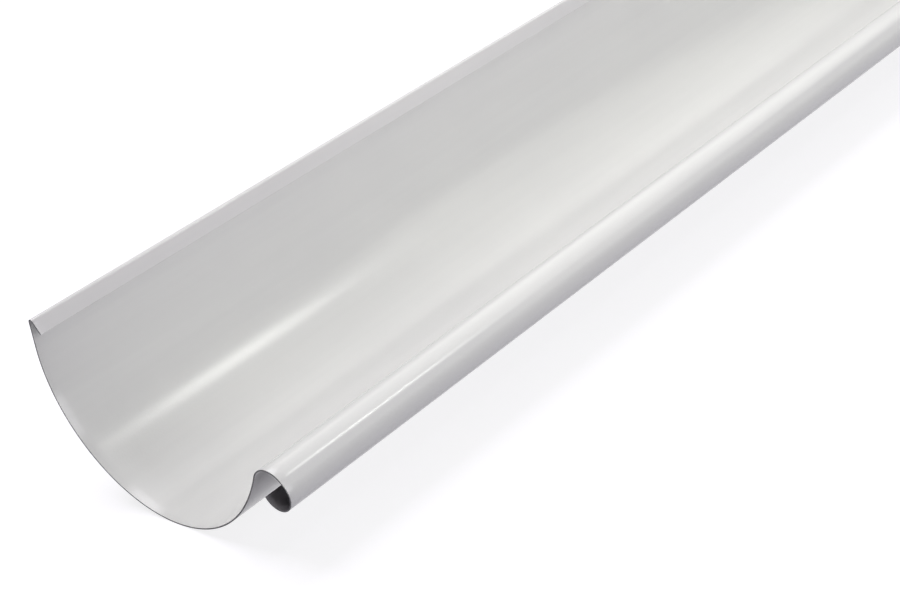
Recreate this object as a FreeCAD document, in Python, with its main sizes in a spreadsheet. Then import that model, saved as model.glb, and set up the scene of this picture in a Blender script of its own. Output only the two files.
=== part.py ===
"""Half-round eaves gutter: one length of rolled sheet, hemmed at the back and beaded at the front.

The section is drawn about the centre of the trough with its mouth level: +X runs from the hemmed
back edge to the bead, +Z is up, and the stock runs along Y. The finished body is then turned about
its length into the way it lies loose on a floor, and its origin is the middle of its box's bottom.
"""
import FreeCAD, Part
import math
import os

import Sketcher

NODE = "gutter"

# Millimetres and degrees. A radius is that of the face named in its note.
SIZES = {
    "stock_length": (2000.0, "length the gutter is sold in"),
    "sheet_gauge": (0.6, "thickness of the coated steel sheet"),
    "trough_radius": (62.5, "water side of the trough, half of its 125 mm width"),
    "back_angle": (78.0, "sweep of the trough from its lowest line to the back wall"),
    "front_angle": (62.5, "sweep of the trough from its lowest line to the front lip"),
    "back_rise": (12.5, "straight strip of the back wall between the trough and the hem"),
    "hem_radius": (0.9, "inside of the open fold on the back edge"),
    "hem_angle": (143.0, "turn of the fold"),
    "hem_leg": (6.4, "straight part of the hem that points down into the trough"),
    "lip_radius": (80.0, "water side of the front lip, which is straighter than the trough"),
    "lip_angle": (18.7, "turn of the front lip"),
    "crown_radius": (9.4, "outside of the bead where it leaves the lip"),
    "crown_angle": (115.5, "turn of the bead's crown"),
    "bead_flat": (2.1, "flat strip along the outer side of the bead"),
    "curl_radius": (7.8, "outside of the curl under the bead"),
    "curl_angle": (187.5, "turn of the curl, which stops short of the front wall"),
}


def make_sheet(doc):
    """Write each driving dimension in its own row of the spreadsheet, with its name and note."""
    sheet = doc.addObject("Spreadsheet::Sheet", "Sizes")
    for row, (alias, (value, note)) in enumerate(SIZES.items(), start=1):
        sheet.set(f"A{row}", alias)
        sheet.set(f"B{row}", str(value))
        sheet.set(f"C{row}", note)
        sheet.setAlias(f"B{row}", alias)
    doc.recompute()
    return sheet


class Walk:
    """One face of the sheet, drawn as tangent arcs and lines from a start point and heading."""

    def __init__(self, x, y, heading):
        self.x, self.y, self.heading = x, y, math.radians(heading)
        self.edges = []

    def line(self, length):
        start = FreeCAD.Vector(self.x, self.y, 0)
        self.x += length * math.cos(self.heading)
        self.y += length * math.sin(self.heading)
        self.edges.append(Part.LineSegment(start, FreeCAD.Vector(self.x, self.y, 0)))

    def bend(self, radius, turn):
        """Turn left through a positive angle, or right through a negative one."""
        side = math.copysign(radius, turn)
        centre_x = self.x - side * math.sin(self.heading)
        centre_y = self.y + side * math.cos(self.heading)
        before = self.heading - math.copysign(math.pi / 2, turn)
        after = before + math.radians(turn)
        circle = Part.Circle(FreeCAD.Vector(centre_x, centre_y, 0), FreeCAD.Vector(0, 0, 1), radius)
        self.edges.append(Part.ArcOfCircle(circle, *sorted((before, after))))
        self.heading += math.radians(turn)
        self.x = centre_x + side * math.sin(self.heading)
        self.y = centre_y - side * math.cos(self.heading)


def walk_face(sheet, outset):
    """The face that lies outset to the right of the water side, from the hem's tip to the curl's."""
    back = math.radians(sheet.back_angle)
    trough = sheet.trough_radius + outset
    rim = Walk(-trough * math.sin(back), -trough * math.cos(back), 180 - sheet.back_angle)
    # Up the back wall and over the fold to the tip of the hem, which is where the face starts.
    rim.line(sheet.back_rise)
    rim.bend(sheet.hem_radius + outset, -sheet.hem_angle)
    rim.line(sheet.hem_leg)
    face = Walk(rim.x, rim.y, math.degrees(rim.heading) + 180)
    face.line(sheet.hem_leg)
    face.bend(sheet.hem_radius + outset, sheet.hem_angle)
    face.line(sheet.back_rise)
    face.bend(trough, sheet.back_angle + sheet.front_angle)
    face.bend(sheet.lip_radius + outset, sheet.lip_angle)
    face.bend(sheet.crown_radius - outset, -sheet.crown_angle)
    face.line(sheet.bead_flat)
    face.bend(sheet.curl_radius - outset, -sheet.curl_angle)
    return face.edges


# The stretches of a face in order from the hem's tip, and a point's number on a line or an arc.
LEG, FOLD, WALL, TROUGH, LIP, CROWN, FLAT, CURL = range(8)
START, END, CENTRE = 1, 2, 3
ORIGIN = (-1, START)


def ends(stretch):
    """Numbers of the first and last point of a stretch; an arc that turns right is stored reversed."""
    return (END, START) if stretch in (CROWN, CURL) else (START, END)


def bind(sketch, name, constraint, expression):
    """Add a named dimension whose value comes from the spreadsheet."""
    index = sketch.addConstraint(constraint)
    sketch.renameConstraint(index, name)
    sketch.setExpression(f"Constraints.{name}", expression)


def join_stretches(sketch, face):
    """Each stretch runs smoothly into the next."""
    for stretch in range(LEG, CURL):
        here, there = face[stretch], face[stretch + 1]
        last, first = ends(stretch)[1], ends(stretch + 1)[0]
        sketch.addConstraint(Sketcher.Constraint("Tangent", here, last, there, first))


def add_spoke(sketch, trough, point, name, expression):
    """Construction line from the trough's centre to one of its ends, which sets that end's angle."""
    arc = sketch.Geometry[trough]
    tip = arc.StartPoint if point == START else arc.EndPoint
    spoke = sketch.addGeometry(Part.LineSegment(FreeCAD.Vector(), tip), True)
    sketch.addConstraint(Sketcher.Constraint("Coincident", spoke, START, *ORIGIN))
    sketch.addConstraint(Sketcher.Constraint("Coincident", spoke, END, trough, point))
    angle = math.atan2(tip.y, tip.x)
    bind(sketch, name, Sketcher.Constraint("Angle", spoke, angle), expression)


def size_water_side(sketch, face):
    """Dimension every stretch of the water side from the spreadsheet."""
    sketch.addConstraint(Sketcher.Constraint("Coincident", face[TROUGH], CENTRE, *ORIGIN))
    add_spoke(sketch, face[TROUGH], START, "back_spoke", "-(90 + Sizes.back_angle) * 1 deg")
    add_spoke(sketch, face[TROUGH], END, "front_spoke", "(Sizes.front_angle - 90) * 1 deg")
    for stretch, name in ((LEG, "hem_leg"), (WALL, "back_rise"), (FLAT, "bead_flat")):
        length = sketch.Geometry[face[stretch]].length()
        bind(sketch, name, Sketcher.Constraint("Distance", face[stretch], length),
             f"Sizes.{name} * 1 mm")
    for stretch, name in ((FOLD, "hem"), (TROUGH, "trough"), (LIP, "lip"), (CROWN, "crown"),
                          (CURL, "curl")):
        arc = sketch.Geometry[face[stretch]]
        bind(sketch, f"{name}_radius", Sketcher.Constraint("Radius", face[stretch], arc.Radius),
             f"Sizes.{name}_radius * 1 mm")
        if stretch != TROUGH:
            turn = arc.LastParameter - arc.FirstParameter
            bind(sketch, f"{name}_angle", Sketcher.Constraint("Angle", face[stretch], turn),
                 f"Sizes.{name}_angle * 1 deg")


def offset_outer_side(sketch, water, outer):
    """Keep the outer side one sheet away from the water side: same centres, parallel straights."""
    for stretch in (FOLD, TROUGH, LIP, CROWN, CURL):
        sketch.addConstraint(
            Sketcher.Constraint("Coincident", outer[stretch], CENTRE, water[stretch], CENTRE))
    for stretch in (LEG, WALL, FLAT):
        sketch.addConstraint(Sketcher.Constraint("Parallel", outer[stretch], water[stretch]))
    arc = sketch.Geometry[outer[TROUGH]]
    bind(sketch, "outer_radius", Sketcher.Constraint("Radius", outer[TROUGH], arc.Radius),
         "(Sizes.trough_radius + Sizes.sheet_gauge) * 1 mm")
    arc = sketch.Geometry[outer[CURL]]
    bind(sketch, "outer_curl", Sketcher.Constraint("Angle", outer[CURL],
         arc.LastParameter - arc.FirstParameter), "Sizes.curl_angle * 1 deg")


def close_tips(sketch, water, outer):
    """Square cut across the sheet at the hem's tip and at the curl's."""
    for stretch, point in ((LEG, ends(LEG)[0]), (CURL, ends(CURL)[1])):
        tips = [sketch.getPoint(face[stretch], point) for face in (water, outer)]
        cut = sketch.addGeometry(Part.LineSegment(*tips), False)
        sketch.addConstraint(Sketcher.Constraint("Coincident", cut, START, water[stretch], point))
        sketch.addConstraint(Sketcher.Constraint("Coincident", cut, END, outer[stretch], point))
        if stretch == LEG:
            sketch.addConstraint(Sketcher.Constraint("Perpendicular", cut, water[LEG]))


def draw_section(body, sheet):
    """Closed section of the sheet on the body's upright plane across the stock."""
    sketch = body.newObject("Sketcher::SketchObject", "Section")
    planes = {feature.Role: feature for feature in body.Origin.OriginFeatures}
    sketch.AttachmentSupport = [(planes["XZ_Plane"], "")]
    sketch.MapMode = "FlatFace"
    water = sketch.addGeometry(walk_face(sheet, 0.0), False)
    outer = sketch.addGeometry(walk_face(sheet, sheet.sheet_gauge), False)
    join_stretches(sketch, water)
    join_stretches(sketch, outer)
    size_water_side(sketch, water)
    offset_outer_side(sketch, water, outer)
    close_tips(sketch, water, outer)
    return sketch


def roll_stock(doc, sheet):
    """Body of the gutter: its section padded by the stock length, half of it to each side."""
    body = doc.addObject("PartDesign::Body", "Gutter")
    body.Label = NODE
    sketch = draw_section(body, sheet)
    doc.recompute()
    pad = body.newObject("PartDesign::Pad", "Stock")
    pad.Profile = sketch
    pad.SideType = "Symmetric"
    pad.setExpression("Length", "Sizes.stock_length * 1 mm")
    body.Tip = pad
    doc.recompute()
    return body


def lay_at_rest(body):
    """Turn the body as it lies loose, then bring the middle of its box's bottom to the origin.

    The trough's round back rolls on the floor until the centre of mass hangs plumb below the
    trough's centre, so the heavier beaded side comes down.
    """
    mass = body.Shape.CenterOfMass
    tilt = math.degrees(math.atan2(mass.x, -mass.z))
    turn = FreeCAD.Rotation(FreeCAD.Vector(0, 1, 0), tilt)
    body.Placement = FreeCAD.Placement(FreeCAD.Vector(), turn)
    box = body.Shape.optimalBoundingBox()
    middle = FreeCAD.Vector(box.Center.x, box.Center.y, box.ZMin)
    body.Placement = FreeCAD.Placement(-middle, turn)
    return tilt


def check(doc, body):
    """Stop before anything is written if an object failed or the body isn't one sound solid."""
    for item in doc.Objects:
        if {"Invalid", "Error"} & set(item.State):
            raise RuntimeError(f"{item.Name} failed: {item.State}")
    shape = body.Shape
    if shape.isNull() or not shape.isValid() or len(shape.Solids) != 1:
        raise RuntimeError("the gutter isn't one valid solid")


def report(body, sheet, tilt):
    """Print what the sheet works out to."""
    volume = body.Shape.Volume
    girth = volume / sheet.stock_length / sheet.sheet_gauge
    box = body.Shape.optimalBoundingBox()
    print(f"{NODE}: {box.XLength:.1f} x {box.YLength:.1f} x {box.ZLength:.1f} mm, "
          f"{volume:.0f} mm3, sheet {girth:.1f} mm wide before rolling, at rest {tilt:.2f} deg")


def main():
    doc = FreeCAD.newDocument("EavesGutter")
    sheet = make_sheet(doc)
    body = roll_stock(doc, sheet)
    tilt = lay_at_rest(body)
    doc.recompute()
    check(doc, body)
    os.makedirs("parts", exist_ok=True)
    body.Shape.exportStep(f"parts/{NODE}.step")
    report(body, sheet, tilt)


main()
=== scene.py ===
"""Half-round eaves gutter in coated steel sheet, with its floor, lamps and camera."""
import logging
import math
from dataclasses import dataclass, field
from enum import Enum
from typing import Any, Union

import bpy
import numpy as np
from mathutils import Matrix, Vector


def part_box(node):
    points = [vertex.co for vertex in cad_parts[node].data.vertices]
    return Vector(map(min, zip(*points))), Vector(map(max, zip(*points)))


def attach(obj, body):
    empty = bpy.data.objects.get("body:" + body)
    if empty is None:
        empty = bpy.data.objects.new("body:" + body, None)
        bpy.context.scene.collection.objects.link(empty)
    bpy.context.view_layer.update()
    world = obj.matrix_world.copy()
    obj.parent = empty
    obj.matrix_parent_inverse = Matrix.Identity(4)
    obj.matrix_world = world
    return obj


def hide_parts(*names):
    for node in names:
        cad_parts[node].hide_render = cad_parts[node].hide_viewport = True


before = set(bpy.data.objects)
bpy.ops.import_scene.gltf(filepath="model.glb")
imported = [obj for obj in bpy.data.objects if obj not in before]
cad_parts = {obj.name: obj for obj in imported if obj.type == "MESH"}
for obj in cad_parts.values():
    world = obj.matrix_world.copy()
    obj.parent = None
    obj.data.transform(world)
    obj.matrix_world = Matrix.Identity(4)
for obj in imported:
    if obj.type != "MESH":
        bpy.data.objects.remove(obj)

LOG = logging.getLogger("gutter")
MM = 0.001

Triple = tuple[float, float, float]
WHITE: Triple = (1.0, 1.0, 1.0)
Term = Union["Wire", float]
Paint = Union["Wire", tuple[float, float, float, float]]


def solid(colour: Triple) -> tuple[float, float, float, float]:
    """The colour with its opacity, as a shader socket takes it."""
    return (*colour, 1.0)


def rise(values: np.ndarray, low: float, high: float) -> np.ndarray:
    """Even climb from 0 where a value is low or less to 1 where it is high or more."""
    return np.clip((values - low) / (high - low), 0.0, 1.0)


# ---------------------------------------------------------------- shader expressions


class Wire:
    """A shader socket that can stand in a Python expression."""

    def __init__(self, graph: "Graph", socket: bpy.types.NodeSocket) -> None:
        """Keep the socket and the graph that it belongs to."""
        self.graph = graph
        self.socket = socket

    def _maths(self, operation: str, *values: Term) -> "Wire":
        """Add one Math node on this graph."""
        return self.graph.node("ShaderNodeMath", {"operation": operation}, list(values))["Value"]

    def __add__(self, other: Term) -> "Wire":
        """Sum of two values."""
        return self._maths("ADD", self, other)

    def __radd__(self, other: Term) -> "Wire":
        """Sum, with a number on the left."""
        return self._maths("ADD", other, self)

    def __sub__(self, other: Term) -> "Wire":
        """Difference of two values."""
        return self._maths("SUBTRACT", self, other)

    def __rsub__(self, other: Term) -> "Wire":
        """Difference, with a number on the left."""
        return self._maths("SUBTRACT", other, self)

    def __mul__(self, other: Term) -> "Wire":
        """Product of two values."""
        return self._maths("MULTIPLY", self, other)

    def __rmul__(self, other: Term) -> "Wire":
        """Product, with a number on the left."""
        return self._maths("MULTIPLY", other, self)

    def __pow__(self, other: Term) -> "Wire":
        """Power of a value."""
        return self._maths("POWER", self, other)

    def clamp(self) -> "Wire":
        """The value held between 0 and 1."""
        return self.graph.node("ShaderNodeClamp", {}, {"Value": self})["Result"]

    def ramp(self, low: float, high: float) -> "Wire":
        """The value's smooth rise from 0 at low to 1 at high."""
        settings = {"interpolation_type": "SMOOTHSTEP"}
        inputs = {"Value": self, "From Min": low, "From Max": high, "To Min": 0.0, "To Max": 1.0}
        return self.graph.node("ShaderNodeMapRange", settings, inputs)["Result"]


class Outputs:
    """The outputs of one node by name, each as a Wire."""

    def __init__(self, graph: "Graph", node: bpy.types.Node) -> None:
        """Keep the node."""
        self.graph = graph
        self.node = node

    def __getitem__(self, name: str) -> Wire:
        """The enabled output of that name, since Mix has one for each kind of data."""
        chosen = [s for s in self.node.outputs if s.name == name and s.enabled]
        return Wire(self.graph, chosen[0])


class Graph:
    """A material's or the world's node tree."""

    def __init__(self, tree: bpy.types.NodeTree) -> None:
        """Empty the tree and keep it."""
        self.tree = tree
        tree.nodes.clear()

    def node(self, kind: str, settings: dict[str, Any],
             inputs: Union[dict[str, Any], list[Any]]) -> Outputs:
        """Add a node.

        Args:
            kind: the node's type, such as ShaderNodeTexNoise.
            settings: its properties, set before its sockets.
            inputs: the values or wires of its sockets, by name, or as a list in their order.

        Returns:
            The node's outputs.
        """
        made = self.tree.nodes.new(kind)
        for name, value in settings.items():
            setattr(made, name, value)
        pairs = enumerate(inputs) if isinstance(inputs, list) else inputs.items()
        for name, value in pairs:
            sockets = [s for s in made.inputs if s.enabled]
            if isinstance(name, int):
                socket = sockets[name]
            else:
                socket = next(s for s in sockets if s.name == name)
            if isinstance(value, Wire):
                self.tree.links.new(value.socket, socket)
            else:
                socket.default_value = value
        return Outputs(self, made)

    def blend(self, share: Term, first: Paint, second: Paint) -> Wire:
        """Mix two colours, with so much of the second one."""
        inputs = {"Factor": share, "A": first, "B": second}
        return self.node("ShaderNodeMix", {"data_type": "RGBA"}, inputs)["Result"]

    def noise(self, place: Wire, scale: float, detail: float, roughness: float = 0.5) -> Wire:
        """Noise from 0 to 1 at a place, with about so many features to the metre."""
        inputs = {"Vector": place, "Scale": scale, "Detail": detail, "Roughness": roughness}
        return self.node("ShaderNodeTexNoise", {"noise_dimensions": "3D"}, inputs)["Fac"]

    def place(self) -> Wire:
        """The object's own coordinates in metres."""
        return self.node("ShaderNodeTexCoord", {}, {})["Object"]

    def stretched(self, place: Wire, scale: Triple) -> Wire:
        """A place with each axis times its scale."""
        return self.node("ShaderNodeMapping", {}, {"Vector": place, "Scale": scale})["Vector"]

    def attribute(self, name: str) -> Wire:
        """A value that the mesh carries at its points."""
        return self.node("ShaderNodeAttribute", {"attribute_name": name}, {})["Fac"]

    def bump(self, height: Wire, distance: float, strength: float = 1.0) -> Wire:
        """The surface's direction where a height from 0 to 1 raises it by up to the distance."""
        inputs = {"Strength": strength, "Distance": distance, "Height": height}
        return self.node("ShaderNodeBump", {}, inputs)["Normal"]

    def seen(self) -> Wire:
        """1 for a ray from the camera, off a glossy surface or through glass, and 0 for light."""
        path = self.node("ShaderNodeLightPath", {}, {})
        return (path["Is Camera Ray"] + path["Is Glossy Ray"] + path["Is Transmission Ray"]).clamp()

    def finish(self, surface: Wire) -> None:
        """Join the surface to the tree's output."""
        self.node("ShaderNodeOutputMaterial", {}, {"Surface": surface})


def new_material(name: str) -> tuple[bpy.types.Material, Graph]:
    """An empty material of that name, and its graph."""
    material = bpy.data.materials.new(name)
    material.use_nodes = True
    return material, Graph(material.node_tree)


# ---------------------------------------------------------------- finishes


class Side(Enum):
    """The sheet's three kinds of surface, in the order of its material slots."""

    TOP_COAT = 0
    BACK_COAT = 1
    CUT_EDGE = 2


@dataclass(frozen=True)
class Coating:
    """Baked coil coating on galvanised sheet: satin, with fine orange peel and faint mottling.

    It is worn beside a cut edge, and inside the bead it turns a dark grey, which is painted shade
    for the bead's hollow.
    Scales are features to the metre.
    """

    name: str
    colour: Triple
    shade: Triple
    # Dark grey painted in as shade where the bead's hollow lies in shadow.
    bead_shade: Triple = (0.20, 0.19, 0.205)
    worn_colour: Triple = (0.36, 0.36, 0.37)
    roughness: float = 0.185
    ior: float = 1.5
    mottle_scale: float = 9.0
    streak_scale: float = 260.0
    flake_scale: float = 2600.0
    peel_size: float = 1.2 * MM
    peel_height: float = 0.030 * MM

    def make(self) -> bpy.types.Material:
        """Build the coating's material.

        Returns:
            A material for a face of the sheet.
        """
        material, graph = new_material(self.name)
        place = graph.place()
        mottle = graph.noise(place, self.mottle_scale, 3.0)
        flake = graph.noise(place, self.flake_scale, 2.0).ramp(0.50, 0.72)
        # Orange peel: soft cells about a millimetre across, with a finer grain on them.
        cells = graph.noise(place, 1.0 / self.peel_size, 2.0, 0.55)
        grain = graph.noise(place, 2.7 / self.peel_size, 1.0)
        gloss = self.roughness + 0.04 * (mottle - 0.5) + 0.16 * (cells - 0.5)
        surface = graph.node("ShaderNodeBsdfPrincipled", {}, {
            "Base Color": self._colour(graph, place, mottle, flake),
            "Roughness": gloss,
            "IOR": self.ior,
            "Normal": graph.bump(cells * 0.75 + grain * 0.25, self.peel_height)})["BSDF"]
        graph.finish(surface)
        return material

    def _colour(self, graph: Graph, place: Wire, mottle: Wire, flake: Wire) -> Wire:
        """The coat's colour: mottled and streaked, greyed by wear, and dark with painted shade
        inside the bead.

        Args:
            graph: the material's graph.
            place: the object's own coordinates.
            mottle: broad noise.
            flake: fine noise that breaks the coat's border up.

        Returns:
            The colour.
        """
        # The streaks run along the gutter, the way the strip was coated.
        streak = graph.noise(graph.stretched(place, (1.0, 0.03, 1.0)), self.streak_scale, 2.0)
        tint = (mottle * 0.7 + streak * 0.3).ramp(0.30, 0.70)
        coat = graph.blend(tint, solid(self.shade), solid(self.colour))
        worn = ((graph.attribute("edge") ** 2.0) * 0.35 * flake).clamp()
        coat = graph.blend(worn, coat, solid(self.worn_colour))
        # Painted shade: inside the bead the outer face turns to the dark grey and stands in for the
        # hollow's shadow.
        shade_share = (graph.attribute("painted_bead_shade") * (0.86 + 0.14 * flake)).clamp()
        return graph.blend(shade_share, coat, solid(self.bead_shade))


@dataclass(frozen=True)
class ShearedSteel:
    """Bare steel where the sheet was slit or cut to length: torn metal with burnished patches.

    Scales are features to the metre.
    """

    name: str
    torn: Triple = (0.050, 0.048, 0.055)
    burnished: Triple = (0.150, 0.148, 0.160)
    metallic: float = 0.6
    roughness: float = 0.42
    drag_scale: float = 4200.0
    patch_scale: float = 300.0
    drag_height: float = 0.030 * MM

    def make(self) -> bpy.types.Material:
        """Build the material of the cut edges.

        Returns:
            A metal material.
        """
        material, graph = new_material(self.name)
        place = graph.place()
        drag = graph.noise(place, self.drag_scale, 3.0)
        patch = graph.noise(place, self.patch_scale, 2.0)
        shine = (drag * 0.6 + patch * 0.4).ramp(0.40, 0.62)
        surface = graph.node("ShaderNodeBsdfPrincipled", {}, {
            "Base Color": graph.blend(shine, solid(self.torn), solid(self.burnished)),
            "Metallic": self.metallic,
            "Roughness": self.roughness + 0.2 * drag,
            "Normal": graph.bump(drag, self.drag_height, 0.6)})["BSDF"]
        graph.finish(surface)
        return material


# ---------------------------------------------------------------- the rolled sheet


@dataclass(frozen=True)
class Run:
    """One stretch of the sheet's middle line: an arc, or a straight where the turn is nil.

    A positive turn bends left and a negative one right, going from the hem's tip to the curl's.
    """

    length: float
    turn: float
    steps: int

    def walk(self, start: np.ndarray, heading: float) -> tuple[np.ndarray, np.ndarray]:
        """Points and headings along the stretch.

        A point is the start plus the integral of the heading's direction. On an arc of radius r
        that is r times (sin h - sin h0, cos h0 - cos h), with r signed like the turn.

        Args:
            start: the first point, across and up.
            heading: the first heading in radians.

        Returns:
            An array of points and one of headings, both from the stretch's start to its end.
        """
        share = np.linspace(0.0, 1.0, self.steps + 1)
        headings = heading + self.turn * share
        if self.turn == 0.0:
            along = self.length * share
            offset = np.stack([along * math.cos(heading), along * math.sin(heading)], axis=1)
        else:
            radius = self.length / self.turn
            offset = radius * np.stack([np.sin(headings) - math.sin(heading),
                                        math.cos(heading) - np.cos(headings)], axis=1)
        return start + offset, headings


@dataclass(frozen=True)
class Section:
    """The gutter's section in millimetres and degrees.

    A radius is on the face that its note names.
    """

    gauge: float = 0.6
    trough_radius: float = 62.5  # water side
    back_angle: float = 78.0
    front_angle: float = 62.5
    back_rise: float = 12.5
    hem_radius: float = 0.9  # inside of the fold
    hem_angle: float = 143.0
    hem_leg: float = 6.4
    lip_radius: float = 80.0  # water side
    lip_angle: float = 18.7
    crown_radius: float = 9.4  # outside of the bead
    crown_angle: float = 115.5
    bead_flat: float = 2.1
    curl_radius: float = 7.8  # outside of the bead
    curl_angle: float = 187.5
    curl_over: float = 6.5  # the tip is pressed in this much further than the curl's nominal turn

    def _arc(self, radius: float, turn: float, steps: int) -> Run:
        """An arc along the sheet's middle, of a given turn in degrees.

        The radius is that of the face on its left, which is the water side.
        """
        angle = math.radians(turn)
        middle = radius + math.copysign(self.gauge / 2, turn)
        return Run(middle * MM * abs(angle), angle, steps)

    def runs(self, over: float = 0.0) -> list[Run]:
        """The stretches from the hem's tip to the curl's.

        Args:
            over: degrees that the curl turns past its nominal angle.

        Returns:
            The stretches in order, each with its number of steps.
        """
        return [
            Run(self.hem_leg * MM, 0.0, 8),
            self._arc(self.hem_radius, self.hem_angle, 16),
            Run(self.back_rise * MM, 0.0, 8),
            self._arc(self.trough_radius, self.back_angle + self.front_angle, 100),
            self._arc(self.lip_radius, self.lip_angle, 16),
            self._arc(self.crown_radius, -self.crown_angle, 40),
            Run(self.bead_flat * MM, 0.0, 3),
            self._arc(self.curl_radius, -self.curl_angle - over, 56),
        ]

    def middle_line(self, over: float = 0.0) -> tuple[np.ndarray, np.ndarray]:
        """The middle line about the trough's centre, its mouth level, in metres.

        Args:
            over: degrees that the curl turns past its nominal angle.

        Returns:
            Points (n, 2), across and up, and headings (n,).
        """
        start, heading = np.zeros(2), -math.radians(self.back_angle + self.hem_angle)
        points, headings = [], []
        for run in self.runs(over):
            stretch, turned = run.walk(start, heading)
            skip = 0 if not points else 1
            points.append(stretch[skip:])
            headings.append(turned[skip:])
            start, heading = stretch[-1], turned[-1]
        line = np.concatenate(points)
        # The trough starts after the leg, the fold and the rise, and its own back angle puts
        # that point round from the bottom.
        before = sum(run.steps for run in self.runs()[:3])
        back = math.radians(self.back_angle)
        radius = (self.trough_radius + self.gauge / 2) * MM
        edge = -radius * np.array([math.sin(back), math.cos(back)])
        return line + edge - line[before], np.concatenate(headings)

    def rest_tilt(self) -> float:
        """The turn that brings the sheet's centre of mass plumb below the trough's centre.

        Returns:
            The angle in radians.
        """
        line, _ = self.middle_line()
        lengths = np.linalg.norm(np.diff(line, axis=0), axis=1)
        centre = ((line[1:] + line[:-1]) / 2 * lengths[:, None]).sum(axis=0) / lengths.sum()
        return math.atan2(centre[0], -centre[1])


@dataclass(frozen=True)
class Wave:
    """One long wave of the sheet's unevenness: its two lengths in metres, phase and share."""

    along: float
    around: float
    phase: float
    share: float


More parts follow.
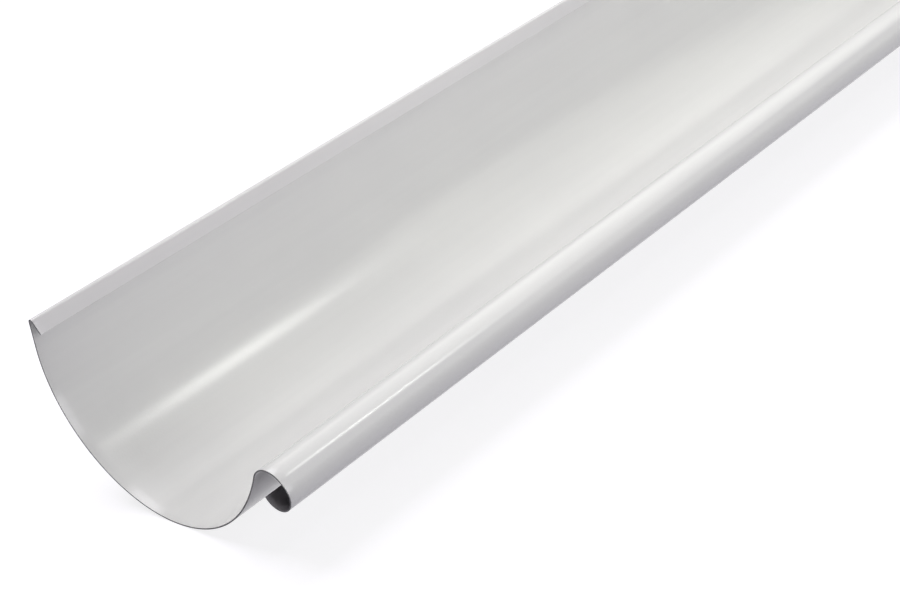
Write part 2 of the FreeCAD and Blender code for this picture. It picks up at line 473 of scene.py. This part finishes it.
@dataclass
class RolledSheet:
    """The gutter: one strip of coated sheet carried along its length as a closed skin.

    The calm and the reaches of the painted shade in the bead are distances along the strip in
    millimetres, the calm's from the hem's tip and the shade's from the curl's.
    """

    section: Section = field(default_factory=Section)
    length: float = 2.0
    stations: int = 160
    crowding: float = 0.6
    edge_round: float = 0.08 * MM
    round_steps: int = 3
    ripple: float = 0.05 * MM
    waves: tuple[Wave, ...] = (Wave(0.31, 0.105, 0.4, 0.5), Wave(0.173, 0.071, 2.1, 0.3),
                               Wave(0.087, 0.160, 4.0, 0.2))
    calm_hem: tuple[float, float] = (12.0, 42.0)
    calm_bead: tuple[float, float] = (155.0, 175.0)
    wear_reach: float = 0.8 * MM
    # How far the painted shade reaches inside the bead, in millimetres from the curl's tip, and its
    # share at the tip.
    shade_mouth: tuple[float, float] = (24.0, 34.0)
    shade_depth: float = 11.0
    shade_at_tip: float = 0.4
    sharp_from: float = 40.0  # degrees between faces

    def _stations(self) -> tuple[np.ndarray, np.ndarray]:
        """Places along the length, and how far each one's skin lies inside the sheet's faces.

        The stations crowd towards the ends, and the last few at each end carry the small round
        of the cut edge, a quarter circle in the plane across the sheet.

        Returns:
            Arrays of places along Y and of insets.
        """
        half = self.length / 2
        angle = np.linspace(0.0, math.pi / 2, self.round_steps + 1)
        reach = half - self.edge_round * (1.0 - np.sin(angle))
        inset = self.edge_round * (1.0 - np.cos(angle))
        share = np.linspace(-1.0, 1.0, self.stations)
        inner = np.sin(share * math.pi / 2) * self.crowding + share * (1.0 - self.crowding)
        inner = inner[1:-1] * (half - self.edge_round)
        places = np.concatenate([-reach[::-1], inner, reach])
        insets = np.concatenate([inset[::-1], np.zeros(inner.size), inset])
        return places, insets

    def _ripple(self, girth: np.ndarray, places: np.ndarray) -> np.ndarray:
        """Slight unevenness of roll-formed sheet, as a sum of long waves, each a product of
        a sine along the length and a sine round the section.

        Args:
            girth: distance round the section from the hem's tip (n,).
            places: places along the length (m,).

        Returns:
            Heights off the true face (m, n), nil at the folded edges.
        """
        total = np.zeros((places.size, girth.size))
        for wave in self.waves:
            along = np.sin(2 * math.pi * places / wave.along + wave.phase)
            around = np.sin(2 * math.pi * girth / wave.around + 1.7 * wave.phase)
            total += wave.share * along[:, None] * around[None, :]
        calm = rise(girth / MM, *self.calm_hem) * (1.0 - rise(girth / MM, *self.calm_bead))
        return self.ripple * total * calm[None, :]

    def _rest(self, across: np.ndarray, up: np.ndarray) -> tuple[np.ndarray, np.ndarray]:
        """Turn points about the trough's centre by the rest tilt, beaded side down."""
        tilt = self.section.rest_tilt()
        return (across * math.cos(tilt) + up * math.sin(tilt),
                up * math.cos(tilt) - across * math.sin(tilt))

    def _faces(self, girth_points: int, places: int) -> tuple[np.ndarray, np.ndarray]:
        """Quads of the skin round the sheet and of the two cut ends, with their sides.

        Each station holds a ring: the water side from the hem's tip to the curl's, then the
        outer side back again.

        Args:
            girth_points: points on one face of the sheet at one station.
            places: number of stations.

        Returns:
            Quads (k, 4) and a material number for each.
        """
        ring = 2 * girth_points
        here = np.arange(ring)
        following = (here + 1) % ring
        rows = np.arange(places - 1)[:, None] * ring
        skin = np.stack([rows + here, rows + following,
                         rows + ring + following, rows + ring + here], axis=2)
        side = np.full(ring, Side.TOP_COAT.value)
        side[girth_points:] = Side.BACK_COAT.value
        side[girth_points - 1] = Side.CUT_EDGE.value
        sides = np.tile(side, (places - 1, 1))
        sides[:self.round_steps] = Side.CUT_EDGE.value
        sides[-self.round_steps:] = Side.CUT_EDGE.value
        water = np.arange(girth_points - 1)
        outer = ring - 1 - water
        near = np.stack([water, outer, outer - 1, water + 1], axis=1)
        last = (places - 1) * ring
        far = last + np.stack([water, water + 1, outer - 1, outer], axis=1)
        quads = np.concatenate([skin.reshape(-1, 4), near, far])
        ends = np.full(2 * (girth_points - 1), Side.CUT_EDGE.value)
        return quads, np.concatenate([sides.ravel(), ends])

    def _points(self, girth: np.ndarray, line: np.ndarray, heading: np.ndarray,
                places: np.ndarray, insets: np.ndarray) -> np.ndarray:
        """The skin's points where the gutter lies at rest.

        A point is the middle line's point, plus or minus half the gauge along the line's normal,
        plus the ripple along the same normal, so both faces stay one gauge apart.

        Args:
            girth: distance round the section from the hem's tip (n,).
            line: the middle line's points (n, 2).
            heading: the middle line's headings (n,).
            places: places along the length (m,).
            insets: how far each place's skin lies inside the sheet's faces (m,).

        Returns:
            Points (m * 2n, 3), ring by ring.
        """
        normal = np.stack([-np.sin(heading), np.cos(heading)], axis=1)
        height = self._ripple(girth, places)
        half = self.section.gauge * MM / 2 - insets[:, None]
        water = line[None] + normal[None] * (height + half)[..., None]
        outer = (line[None] + normal[None] * (height - half)[..., None])[:, ::-1]
        ring = np.concatenate([water, outer], axis=1)
        x, z = self._rest(ring[..., 0], ring[..., 1])
        low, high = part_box("gutter")
        x += (low[0] + high[0]) / 2 - (x.min() + x.max()) / 2
        z += -z.min()
        y = np.broadcast_to(places[:, None], x.shape)
        return np.stack([x, y, z], axis=2).reshape(-1, 3)

    def build(self, finishes: dict[Side, bpy.types.Material]) -> bpy.types.Object:
        """Make the sheet's mesh and dress it.

        Args:
            finishes: a material for each side of the sheet.

        Returns:
            The gutter's object.
        """
        line, heading = self.section.middle_line(self.section.curl_over)
        steps = np.linalg.norm(np.diff(line, axis=0), axis=1)
        girth = np.concatenate([[0.0], np.cumsum(steps)])
        places, insets = self._stations()
        points = self._points(girth, line, heading, places, insets)
        quads, sides = self._faces(girth.size, places.size)
        mesh = bpy.data.meshes.new("gutter_sheet")
        mesh.from_pydata(points, [], quads)
        mesh.polygons.foreach_set("material_index", sides.astype(np.int32))
        mesh.polygons.foreach_set("use_smooth", np.ones(len(quads), dtype=bool))
        for side in Side:
            mesh.materials.append(finishes[side])
        self._mark_edges(mesh, girth, places)
        # Painted shade for the hollow inside the bead.
        self._mark_painted_shade(mesh, girth, places)
        mesh.validate()
        mesh.set_sharp_from_angle(angle=math.radians(self.sharp_from))
        sheet = bpy.data.objects.new("gutter_sheet", mesh)
        bpy.context.scene.collection.objects.link(sheet)
        return sheet

    def _mark_edges(self, mesh: bpy.types.Mesh, girth: np.ndarray, places: np.ndarray) -> None:
        """Write how near each point is to a cut edge, as the attribute edge.

        It is 1 on the edge and falls evenly to 0 at the wear's reach.

        Args:
            mesh: the skin.
            girth: distance round the section from the hem's tip.
            places: places along the length.
        """
        slit = np.minimum(girth, girth[-1] - girth)
        slit = np.concatenate([slit, slit[::-1]])
        sheared = self.length / 2 - np.abs(places)
        nearest = np.minimum(slit[None, :], sheared[:, None])
        value = 1.0 - rise(nearest, 0.0, self.wear_reach)
        mesh.attributes.new("edge", "FLOAT", "POINT").data.foreach_set("value", value.ravel())

    def _mark_painted_shade(self, mesh: bpy.types.Mesh, girth: np.ndarray, places: np.ndarray) -> None:
        """Write how much painted shade darkens each point of the outer face inside the bead, as an
        attribute.

        Going in from the curl's tip, the shade climbs from its share at the tip to 1 at its full
        depth, holds to the mouth's start, falls evenly and is 0 from the mouth's end.

        Args:
            mesh: the skin.
            girth: distance round the section from the hem's tip.
            places: places along the length.
        """
        depth = (girth[-1] - girth) / MM
        tip = self.shade_at_tip + (1.0 - self.shade_at_tip) * rise(depth, 0.0, self.shade_depth)
        inside = (1.0 - rise(depth, *self.shade_mouth)) * tip
        ring = np.concatenate([np.zeros(girth.size), inside[::-1]])
        value = np.tile(ring, places.size)
        mesh.attributes.new("painted_bead_shade", "FLOAT", "POINT").data.foreach_set("value", value)


# ---------------------------------------------------------------- floor, lamps and camera


@dataclass(frozen=True)
class Floor:
    """A wide pale floor that shows white to the camera and keeps the gutter's shadow."""

    reach: float = 6.0
    colour: Triple = (0.29, 0.28, 0.32)
    lift: float = 0.82

    def build(self) -> bpy.types.Object:
        """Make the floor and mark it as staging.

        Returns:
            The floor's object.
        """
        r = self.reach
        mesh = bpy.data.meshes.new("floor")
        mesh.from_pydata([(-r, -r, 0), (r, -r, 0), (r, r, 0), (-r, r, 0)], [], [(0, 1, 2, 3)])
        mesh.materials.append(self._material())
        floor = bpy.data.objects.new("floor", mesh)
        bpy.context.scene.collection.objects.link(floor)
        return floor

    def _material(self) -> bpy.types.Material:
        """Matt grey with a glow that lights nothing, so it reads as white.

        Returns:
            The floor's material.
        """
        material, graph = new_material("floor")
        matt = graph.node("ShaderNodeBsdfDiffuse", {}, {"Color": solid(self.colour)})["BSDF"]
        glow = graph.node("ShaderNodeEmission", {}, {
            "Color": solid(WHITE), "Strength": graph.seen() * self.lift})["Emission"]
        graph.finish(graph.node("ShaderNodeAddShader", {}, [matt, glow])["Shader"])
        return material


@dataclass(frozen=True)
class Lamp:
    """A rectangular studio lamp."""

    name: str
    place: Triple
    aim: Triple
    size: tuple[float, float]
    watts: float
    colour: Triple

    def build(self) -> bpy.types.Object:
        """Hang the lamp and point it at its aim.

        Returns:
            The lamp's object.
        """
        light = bpy.data.lights.new(self.name, "AREA")
        light.shape = "RECTANGLE"
        light.size, light.size_y = self.size
        light.energy = self.watts
        light.color = self.colour
        lamp = bpy.data.objects.new(self.name, light)
        lamp.location = self.place
        toward = Vector(self.aim) - Vector(self.place)
        lamp.rotation_euler = toward.to_track_quat("-Z", "Y").to_euler()
        bpy.context.scene.collection.objects.link(lamp)
        return lamp


@dataclass(frozen=True)
class Studio:
    """Studio light: a small key lamp, soft boxes overhead, low at the side and behind, and a
    surround that is white to look at and gives hardly any light."""

    surround: float = 0.04
    lamps: tuple[Lamp, ...] = (
        Lamp("key", (1.09, 0.24, 1.50), (-0.03, -0.91, 0.02),
             (0.24, 0.24), 2.5, (0.98, 1.0, 0.95)),
        Lamp("overhead", (-0.60, -0.80, 1.70), (0.0, -0.8, 0.02),
             (1.3, 1.3), 22.4, (0.985, 0.965, 1.0)),
        Lamp("low_side", (1.69, -0.80, 0.64), (0.0, -0.8, 0.02),
             (1.1, 1.1), 12.3, (0.975, 0.965, 1.0)),
        Lamp("behind", (0.0, 0.40, 1.29), (0.0, -0.8, 0.02),
             (2.8, 1.0), 12.4, (0.99, 1.0, 0.91)),
    )

    def build(self) -> None:
        """Hang the lamps and set the world up."""
        for lamp in self.lamps:
            lamp.build()
        world = bpy.data.worlds.new("surround")
        bpy.context.scene.world = world
        world.use_nodes = True
        graph = Graph(world.node_tree)
        strength = self.surround + graph.seen() * (1.0 - self.surround)
        glow = graph.node("ShaderNodeBackground", {}, {
            "Color": solid(WHITE), "Strength": strength})["Background"]
        graph.node("ShaderNodeOutputWorld", {}, {"Surface": glow})


@dataclass(frozen=True)
class StudioCamera:
    """The camera, placed by a point, a line of sight and its own rightward direction."""

    place: Triple = (0.55992, -1.36419, 0.40844)
    sight: Triple = (-0.64587, 0.61534, -0.45189)
    rightward: Triple = (0.74371, 0.64084, -0.19032)
    lens: float = 76.17
    sensor: float = 36.0
    clip: tuple[float, float] = (0.01, 50.0)

    def build(self) -> bpy.types.Object:
        """Set up the camera and make it the scene's own.

        Returns:
            The camera's object.
        """
        data = bpy.data.cameras.new("camera")
        data.lens = self.lens
        data.sensor_width = self.sensor
        data.clip_start, data.clip_end = self.clip
        forward = Vector(self.sight).normalized()
        upward = Vector(self.rightward).cross(forward).normalized()
        right = forward.cross(upward)
        turn = Matrix((right, upward, -forward)).transposed()
        camera = bpy.data.objects.new("camera", data)
        camera.matrix_world = Matrix.Translation(self.place) @ turn.to_4x4()
        bpy.context.scene.collection.objects.link(camera)
        bpy.context.scene.camera = camera
        return camera


def main() -> None:
    """Build the gutter, its surroundings and the camera."""
    logging.basicConfig(level=logging.INFO, format="%(name)s: %(message)s")
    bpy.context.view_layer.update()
    bpy.context.scene.view_settings.view_transform = "Standard"
    finishes = {
        Side.TOP_COAT: Coating("top_coat", (0.80, 0.80, 0.79), (0.765, 0.765, 0.76)).make(),
        Side.BACK_COAT: Coating("back_coat", (0.735, 0.725, 0.732), (0.70, 0.69, 0.697)).make(),
        Side.CUT_EDGE: ShearedSteel("sheared_steel").make(),
    }
    sheet = RolledSheet().build(finishes)
    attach(sheet, "root")
    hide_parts("gutter")
    LOG.info("%s: %d faces", sheet.name, len(sheet.data.polygons))
    Floor().build()
    Studio().build()
    StudioCamera().build()


if __name__ == "__main__":
    main()
